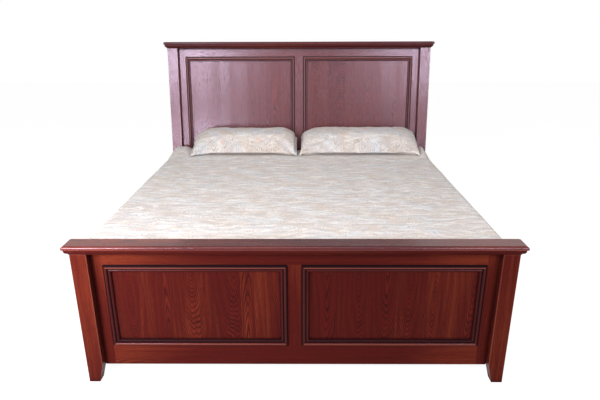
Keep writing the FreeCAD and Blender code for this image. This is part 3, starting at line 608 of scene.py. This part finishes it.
def printedCotton(name):
    strength, paintedLightLevel, patches, hearts, streaks = printed[name]
    made, tree, shader = newMaterial("printed cotton " + name)
    uv = node(tree, "UVMap", uv_map="cloth").outputs[0]
    warp = node(tree, "TexNoise", {"Vector": uv, "Scale": printed["warpSize"], "Detail": 2.0})
    moved = node(tree, "VectorMath", {0: warp.outputs["Color"], 1: (printed["warp"],) * 3, 2: uv},
                 operation="MULTIPLY_ADD").outputs[0]
    # curled drops, each with rings of fine line work round its heart, and dots and florets between them
    drop = node(tree, "TexVoronoi", {"Vector": moved, "Scale": printed["drops"],
                                     "Randomness": printed["dropScatter"]})
    reach = drop.outputs["Distance"]
    first, second, third = node(tree, "SeparateColor", {"Color": drop.outputs["Color"]}).outputs
    inside = spread(tree, calc(tree, "MULTIPLY_ADD", third, printed["dropVaries"], reach),
                    *printed["dropEdge"])
    rings = calc(tree, "MULTIPLY", inside, spread(tree, calc(
        tree, "COSINE", calc(tree, "MULTIPLY", reach, printed["rings"])), *printed["ringEdge"]))
    heart = spread(tree, reach, *printed["heartEdge"])
    dots = node(tree, "TexVoronoi", {"Vector": moved, "Scale": printed["dots"],
                                     "Randomness": printed["dotScatter"]})
    dots = spread(tree, dots.outputs["Distance"], *printed["dotEdge"])
    floret = node(tree, "TexVoronoi", {"Vector": moved, "Scale": printed["florets"]}).outputs["Distance"]
    petals = calc(tree, "COSINE", calc(tree, "MULTIPLY", floret, printed["petals"]))
    petals = spread(tree, petals, *printed["petalEdge"])
    outside = calc(tree, "SUBTRACT", 1.0, inside)
    patch = clouds(tree, uv, patches, 2.0)
    cool = spread(tree, clouds(tree, moved, patches, 1.5), *printed["coolEdge"])
    rumple = clouds(tree, moved, printed["threads"], 4.0, 0.7)
    sand = spread(tree, patch, *printed["sandEdge"], 0.0, printed["sandShare"])
    colour = mixed(tree, sand, printed["ground"], printed["sand"])
    layers = (
        (cool, printed["coolInk"], "coolWhite"),
        (calc(tree, "MULTIPLY", outside, petals), printed["petalInk"], "sand"),
        (calc(tree, "MULTIPLY", rings, spread(tree, second, *printed["brown"])), printed["brownInk"], "line"),
        (calc(tree, "MULTIPLY", rings, spread(tree, second, *printed["blue"])), printed["blueInk"],
         "blueGrey"),
        (calc(tree, "MULTIPLY", heart, spread(tree, first, *printed["ripe"])), hearts, "peach"),
        (calc(tree, "MULTIPLY", outside, dots), printed["dotInk"], "line"),
    )
    for share, amount, ink in layers:
        colour = mixed(tree, calc(tree, "MULTIPLY", share, amount * strength), colour, printed[ink])
    # painted shade and painted highlight along the rumples of the cloth
    for edge, ink in (("darkThread", "shadow"), ("paleThread", "gleam")):
        colour = mixed(tree, spread(tree, rumple, *printed[edge], 0.0, streaks), colour, printed[ink])
    # painted light: the print is lightened on the sheet and darkened on the pillow cases, as their light
    # differs
    colour = mixed(tree, 1.0, colour, (paintedLightLevel,) * 3, "MULTIPLY")
    along = node(tree, "SeparateXYZ", {"Vector": uv}).outputs
    warpThreads, weftThreads = (calc(tree, "SINE", calc(tree, "MULTIPLY", along[i], printed["weave"]))
                                for i in (0, 1))
    weave = calc(tree, "MULTIPLY", warpThreads, weftThreads)
    weaveBump = node(tree, "Bump", {"Height": weave, "Strength": printed["weaveBump"],
                                    "Distance": printed["weaveDepth"]})
    bump = node(tree, "Bump", {"Height": rumple, "Strength": printed["threadBump"],
                               "Distance": printed["threadDepth"], "Normal": weaveBump.outputs[0]})
    feed(tree, shader, {"Base Color": colour, "Normal": bump.outputs[0],
                        "Roughness": printed["roughness"], "Specular IOR Level": printed["gloss"],
                        "Sheen Weight": printed["sheen"], "Sheen Roughness": printed["sheenRoughness"]})
    return made


# fitted sheet: cut flat with square corners taken out, sewn there, and drawn over the mattress
sheetPlan = {
    "halfWidth": 0.9675, "foot": -1.0690, "head": 0.9546, "top": 0.6990, "bottom": 0.4055,
    "corner": 0.058, "edge": 0.030, "cell": 0.014, "thick": 0.0012, "merge": 0.0004,
    # how far it stands off: everywhere, in soft, long and fine wrinkles, and how much more by the head
    "lift": 0.0014, "softWrinkle": 0.0014, "longWrinkle": 0.0010, "fineWrinkle": 0.0008,
    "longByHead": 0.0004, "longInClear": 0.0024, "fineByHead": 0.0010,
    # how many of each fit in a metre along x, y and z, and a shift that sets them apart
    "longSize": (1.3, 10, 4, 3), "fineSize": (3.5, 32, 9, 8), "softSize": (3, 3, 3, 20),
    "headward": (-0.9, 0.6), "clearOfPillows": (0.69, 0.63),
    # the corners at the head are pushed up beside the pillows
    "puffed": 0.034, "besideLeft": (-0.80, -0.87), "besideRight": (0.885, 0.935), "behind": (0.60, 0.86),
}


def ramp(value, start, end):
    return min(max((value - start) / (end - start), 0.0), 1.0)


def wrinkle(spot, size):
    x, y, z, shift = size
    return noise.noise(Vector((spot.x * x, spot.y * y, spot.z * z + shift)))


def fittedSheet():
    plan = sheetPlan
    halfLength = (plan["head"] - plan["foot"]) / 2
    centreY = (plan["head"] + plan["foot"]) / 2
    drop = plan["top"] - plan["bottom"]
    halves = (plan["halfWidth"], halfLength)
    full = [h + drop for h in halves]
    counts = [round(2 * f / plan["cell"]) for f in full]
    work = bmesh.new()
    bmesh.ops.create_grid(work, x_segments=counts[0], y_segments=counts[1], size=1.0)
    for vert in work.verts:
        vert.co = Vector((vert.co.x * full[0], vert.co.y * full[1], 0))
    step = [2 * f / c for f, c in zip(full, counts)]
    # lines next to the rims move onto them, then the corner squares go
    for vert in work.verts:
        for i in (0, 1):
            gap = abs(vert.co[i]) - halves[i]
            if abs(gap) <= step[i] / 2 + 1e-6:
                vert.co[i] = math.copysign(halves[i], vert.co[i])
    bmesh.ops.delete(work, geom=[f for f in work.faces if all(
        abs(f.calc_center_median()[i]) > halves[i] for i in (0, 1))], context="FACES")
    uvLayer = work.loops.layers.uv.new("cloth")
    for face in work.faces:
        for loop in face.loops:
            loop[uvLayer].uv = (loop.vert.co.x, loop.vert.co.y)
    radius, edge = plan["corner"], plan["edge"]
    arc = edge * math.pi / 4
    for vert in work.verts:
        u, v = vert.co.x, vert.co.y
        down = max(abs(u) - halves[0], abs(v) - halves[1], 0.0)
        flat = [min(abs(u), halves[0]), min(abs(v), halves[1])]
        past = [flat[i] - (halves[i] - radius) for i in (0, 1)]
        if min(past) > 0:  # round the corner in plan
            length = math.hypot(*past)
            reach = max(past)
            outward = Vector((past[0] / length, past[1] / length))
            foot = Vector((halves[0] - radius, halves[1] - radius))
            inset = radius - reach
        else:
            outward = Vector((1, 0)) if past[0] > past[1] else Vector((0, 1))
            foot = Vector(flat)
            inset = min(halves[0] - flat[0], halves[1] - flat[1])
        travel = down - inset
        most = min(halves)
        if abs(travel) < arc:
            turn = (travel + arc) / (2 * arc) * math.pi / 2
            newInset, fall = edge * (1 - math.sin(turn)), edge * (1 - math.cos(turn))
        elif travel > 0:
            newInset, fall = 0.0, edge + (travel - arc) * (drop - edge) / (drop - arc)
        else:
            newInset, fall = edge + (-travel - arc) * (most - edge) / (most - arc), 0.0
        if min(past) > 0:
            spot = foot + outward * (radius - newInset)
        else:
            spot = foot + outward * (inset - newInset)
        vert.co = Vector((math.copysign(spot.x, u), centreY + math.copysign(spot.y, v),
                          plan["top"] - fall))
    bmesh.ops.remove_doubles(work, verts=work.verts, dist=plan["merge"])
    work.normal_update()
    for vert in work.verts:
        p = vert.co.copy()
        toHead = ramp(p.y, *plan["headward"])
        clear = ramp(p.y, *plan["clearOfPillows"])  # none stands up under the pillows
        long, fine, soft = (wrinkle(p, plan[size]) for size in ("longSize", "fineSize", "softSize"))
        rise = plan["lift"] + plan["softWrinkle"] * soft
        rise += (plan["longWrinkle"] + (plan["longByHead"] + plan["longInClear"] * clear) * toHead) * long
        rise += (plan["fineWrinkle"] + plan["fineByHead"] * clear * toHead) * fine
        vert.co = p + vert.normal * max(rise, 0.0)
        beside = max(ramp(p.x, *plan["besideLeft"]), ramp(p.x, *plan["besideRight"]))
        behind = ramp(p.y, *plan["behind"])
        vert.co.z += plan["puffed"] * beside * behind ** 2 * (3 - 2 * behind) * max(vert.normal.z, 0.0)
    return work


sheet = addPiece("sheet_cover", fittedSheet(), printedCotton("sheet"), "mattress")
thick = sheet.modifiers.new("thickness", "SOLIDIFY")
thick.thickness, thick.offset = sheetPlan["thick"], -1.0
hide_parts("fitted_sheet")
print("sheet made:", len(sheet.data.vertices), "points")


# pillows: each case is two sheets sewn at the rim and stitched again a flange's width inside it
pillowPlan = {
    "flange": (0.026, 0.018), "cell": 0.0105, "crown": 0.125, "belly": 0.026, "lumps": (16, 0.004),
    "started": 0.9, "apart": 0.002, "steepSides": 2.2, "printStep": 0.37, "merge": 0.0005, "seam": 0.001,
    "frames": 22, "mostMove": 0.050, "layer": 0.0009, "tilt": 13.0,
    "restsOn": 0.7040, "pressed": 0.030, "soft": 0.004,
    "cloth": {
        "quality": 6, "mass": 0.25, "tension_stiffness": 22, "compression_stiffness": 22,
        "shear_stiffness": 9, "bending_stiffness": 0.25, "tension_damping": 8, "compression_damping": 8,
        "air_damping": 2, "use_pressure": True, "uniform_pressure_force": 5.0,
        "vertex_group_pressure": "pocket",
    },
    "pillow_left": {"cut": (1.000, 0.450), "from": (-0.816, 0.694), "to": (-0.009, 1.018), "top": 0.886,
                    "seed": 3.0, "ends": (4.0, 11.0)},
    "pillow_right": {"cut": (1.080, 0.450), "from": (0.003, 0.692), "to": (0.902, 1.018), "top": 0.890,
                     "seed": 11.0, "ends": (5.0, 6.0)},
}


def pillowForm(name):
    plan, own = pillowPlan, pillowPlan[name]
    cut = own["cut"]
    counts = [2 * round(c / plan["cell"] / 2) for c in cut]
    inside = [c / 2 - f for c, f in zip(cut, plan["flange"])]
    work = bmesh.new()
    bmesh.ops.create_grid(work, x_segments=counts[0], y_segments=counts[1], size=1.0)
    uvLayer = work.loops.layers.uv.new("cloth")
    for vert in work.verts:
        vert.co = Vector((vert.co.x * cut[0] / 2, vert.co.y * cut[1] / 2, 0))
    for face in work.faces:
        for loop in face.loops:
            loop[uvLayer].uv = (loop.vert.co.x + own["seed"],
                                loop.vert.co.y + own["seed"] * plan["printStep"])
    step = [c / n for c, n in zip(cut, counts)]
    for vert in work.verts:  # a row of points sits on the stitched line
        for i in (0, 1):
            if abs(abs(vert.co[i]) - inside[i]) <= step[i] / 2 + 1e-6:
                vert.co[i] = math.copysign(inside[i], vert.co[i])
    lower = bmesh.ops.duplicate(work, geom=work.verts[:] + work.edges[:] + work.faces[:])["geom"]
    lowerFaces = [g for g in lower if isinstance(g, bmesh.types.BMFace)]
    lowerVerts = {g for g in lower if isinstance(g, bmesh.types.BMVert)}
    bmesh.ops.reverse_faces(work, faces=lowerFaces)
    for vert in work.verts:
        share = [min(abs(vert.co[i]) / inside[i], 1.0) for i in (0, 1)]
        steep = own["ends"][vert.co.x > 0]
        full = math.sqrt(max((1 - share[0] ** steep) * (1 - share[1] ** plan["steepSides"]), 0.0))
        often, high = plan["lumps"]
        lump = noise.noise(vert.co * often + Vector((own["seed"], 0, 0))) * high
        if full > 0:
            height = -plan["belly"] if vert in lowerVerts else plan["crown"]
            vert.co.z = height * full * plan["started"] + lump * full + math.copysign(plan["apart"], height)
    rim = [v for v in work.verts if v.is_boundary]
    bmesh.ops.remove_doubles(work, verts=rim, dist=plan["merge"])
    work.normal_update()
    return work, inside


def simulate(work, inside):
    # the flange is one layer while the cloth moves, so the pocket is blown up and the flange follows
    plan = pillowPlan
    start = [v.co.copy() for v in work.verts]
    once = work.copy()
    bmesh.ops.remove_doubles(once, verts=once.verts, dist=plan["merge"])
    mesh = bpy.data.meshes.new("cloth_trial")
    once.to_mesh(mesh)
    once.free()
    trial = bpy.data.objects.new("cloth_trial", mesh)
    scene.collection.objects.link(trial)
    pocket = trial.vertex_groups.new(name="pocket")
    pocket.add([v.index for v in mesh.vertices if all(
        abs(v.co[i]) < inside[i] - plan["seam"] for i in (0, 1))], 1.0, "REPLACE")
    cloth = trial.modifiers.new("cloth", "CLOTH")
    cloth.point_cache.frame_end = plan["frames"]
    for setting, value in plan["cloth"].items():
        setattr(cloth.settings, setting, value)
    cloth.settings.effector_weights.gravity = 0
    before = [v.co.copy() for v in mesh.vertices]
    for frameNumber in range(1, plan["frames"] + 1):
        scene.frame_set(frameNumber)
    shaped = trial.evaluated_get(bpy.context.evaluated_depsgraph_get())
    after = [v.co.copy() for v in shaped.data.vertices]
    scene.frame_set(1)
    bpy.data.objects.remove(trial)
    bpy.data.meshes.remove(mesh)
    tree = KDTree(len(before))
    for index, spot in enumerate(before):
        tree.insert(spot, index)
    tree.balance()
    for vert, spot in zip(work.verts, start):
        index = tree.find(spot)[1]
        move = after[index] - before[index]
        if move.length > plan["mostMove"]:
            move *= plan["mostMove"] / move.length
        vert.co = spot + move


def pillow(name):
    plan, own = pillowPlan, pillowPlan[name]
    work, inside = pillowForm(name)
    flat = {v: any(abs(v.co[i]) >= inside[i] - plan["seam"] for i in (0, 1)) for v in work.verts}
    layer = {v: (1 if sum(f.normal.z for f in v.link_faces) > 0 else -1) for v in work.verts}
    simulate(work, inside)
    # flange layers lie a cloth's thickness apart
    work.normal_update()
    for vert in work.verts:
        if flat[vert] and not vert.is_boundary:
            vert.co.z += layer[vert] * plan["layer"]
    tip = Matrix.Rotation(math.radians(plan["tilt"]), 4, "X")
    bmesh.ops.transform(work, matrix=tip, verts=work.verts)
    low, high = (Vector([pick(v.co[i] for v in work.verts) for i in range(3)]) for pick in (min, max))
    goalLow = Vector((*own["from"], plan["restsOn"] - plan["pressed"]))
    goalHigh = Vector((*own["to"], own["top"]))
    for vert in work.verts:
        for i in range(3):
            share = (vert.co[i] - low[i]) / (high[i] - low[i])
            vert.co[i] = goalLow[i] + share * (goalHigh[i] - goalLow[i])
        below = plan["restsOn"] + plan["soft"] - vert.co.z
        if below > 0:  # pressed flat where it lies on the sheet
            vert.co.z = plan["restsOn"] + plan["soft"] * math.exp(-below / plan["soft"])
    made = addPiece(name + "_case", work, cottonCase, name)
    smooth = made.modifiers.new("smooth", "SUBSURF")
    smooth.levels = smooth.render_levels = 1
    smooth.boundary_smooth = "ALL"
    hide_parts(name)


cottonCase = printedCotton("case")
for name in ("pillow_left", "pillow_right"):
    pillow(name)
print("pillows made")


# studio: floor, world, lamps (place, aim, size, watts) and camera
studio = {
    "floorHalf": 14.0, "floorDiffuse": 0.45, "floorGlow": 0.90, "floorFaint": 0.36, "world": 0.23,
    "boxLeft": ((-1.9, -4.6, 2.75), (-0.2, 0.3, 0.8), (0.9, 1.4), 122.0),
    "boxRight": ((2.1, -4.6, 2.75), (0.2, 0.3, 0.8), (0.9, 1.4), 86.0),
    "nearLeft": ((-1.27, -2.0, 1.0), (-0.8, -1.1, 0.55), (0.36, 0.36), 22.0),
    "nearRight": ((1.45, -2.1, 1.0), (0.9, -1.1, 0.55), (0.24, 0.24), 2.5),
    "above": ((-0.3, -1.2, 3.4), (0, -0.6, 0.5), (2.4, 2.4), 34.0),
    "camera": (0.0476, -3.4786, 1.6191), "cameraTurns": (("Z", 0.540), ("X", 68.27), ("Z", -0.189)),
    "focal": 34.08, "sensor": 36.0, "shift": 0.0833,
}


def seenWhite(tree):
    # plain white to the eye and in reflections, and lit as usual for everything else
    ray = node(tree, "LightPath").outputs
    return calc(tree, "MAXIMUM", calc(tree, "MAXIMUM", ray["Is Camera Ray"], ray["Is Glossy Ray"]),
                ray["Is Transmission Ray"])


def floorMaterial():
    made = bpy.data.materials.new("floor")
    tree = emptyTree(made)
    diffuse = node(tree, "BsdfDiffuse", {"Color": (*[studio["floorDiffuse"]] * 3, 1.0)})
    glow = node(tree, "Emission", {"Color": (1, 1, 1, 1), "Strength": studio["floorGlow"]})
    faint = node(tree, "BsdfDiffuse", {"Color": (*[studio["floorFaint"]] * 3, 1.0)})
    shown = node(tree, "AddShader", {0: glow.outputs[0], 1: faint.outputs[0]})
    both = node(tree, "MixShader", {0: seenWhite(tree), 1: diffuse.outputs[0], 2: shown.outputs[0]})
    node(tree, "OutputMaterial", {"Surface": both.outputs[0]})
    return made


ground = bmesh.new()
bmesh.ops.create_grid(ground, x_segments=1, y_segments=1, size=studio["floorHalf"])
floor = addPiece("floor", ground, floorMaterial(), None)

world = bpy.data.worlds.new("studio")
scene.world = world
tree = emptyTree(world)
strength = between(tree, seenWhite(tree), studio["world"], 1.0)
sky = node(tree, "Background", {"Color": (1, 1, 1, 1), "Strength": strength})
node(tree, "OutputWorld", {"Surface": sky.outputs[0]})

for name in ("boxLeft", "boxRight", "nearLeft", "nearRight", "above"):
    place, aim, size, power = studio[name]
    data = bpy.data.lights.new(name, "AREA")
    data.shape, (data.size, data.size_y), data.energy = "RECTANGLE", size, power
    lamp = bpy.data.objects.new(name, data)
    scene.collection.objects.link(lamp)
    lamp.visible_camera = False
    lamp.matrix_world = Matrix.Translation(place) @ (
        Vector(aim) - Vector(place)).to_track_quat("-Z", "Y").to_matrix().to_4x4()

lens = bpy.data.cameras.new("photo camera")
lens.lens, lens.sensor_width, lens.shift_y = studio["focal"], studio["sensor"], studio["shift"]
camera = bpy.data.objects.new("photo camera", lens)
scene.collection.objects.link(camera)
stand = Matrix.Translation(studio["camera"])
for axis, angle in studio["cameraTurns"]:
    stand = stand @ Matrix.Rotation(math.radians(angle), 4, axis)
camera.matrix_world = stand
scene.camera = camera
scene.view_settings.view_transform = "Standard"

print("studio ready")
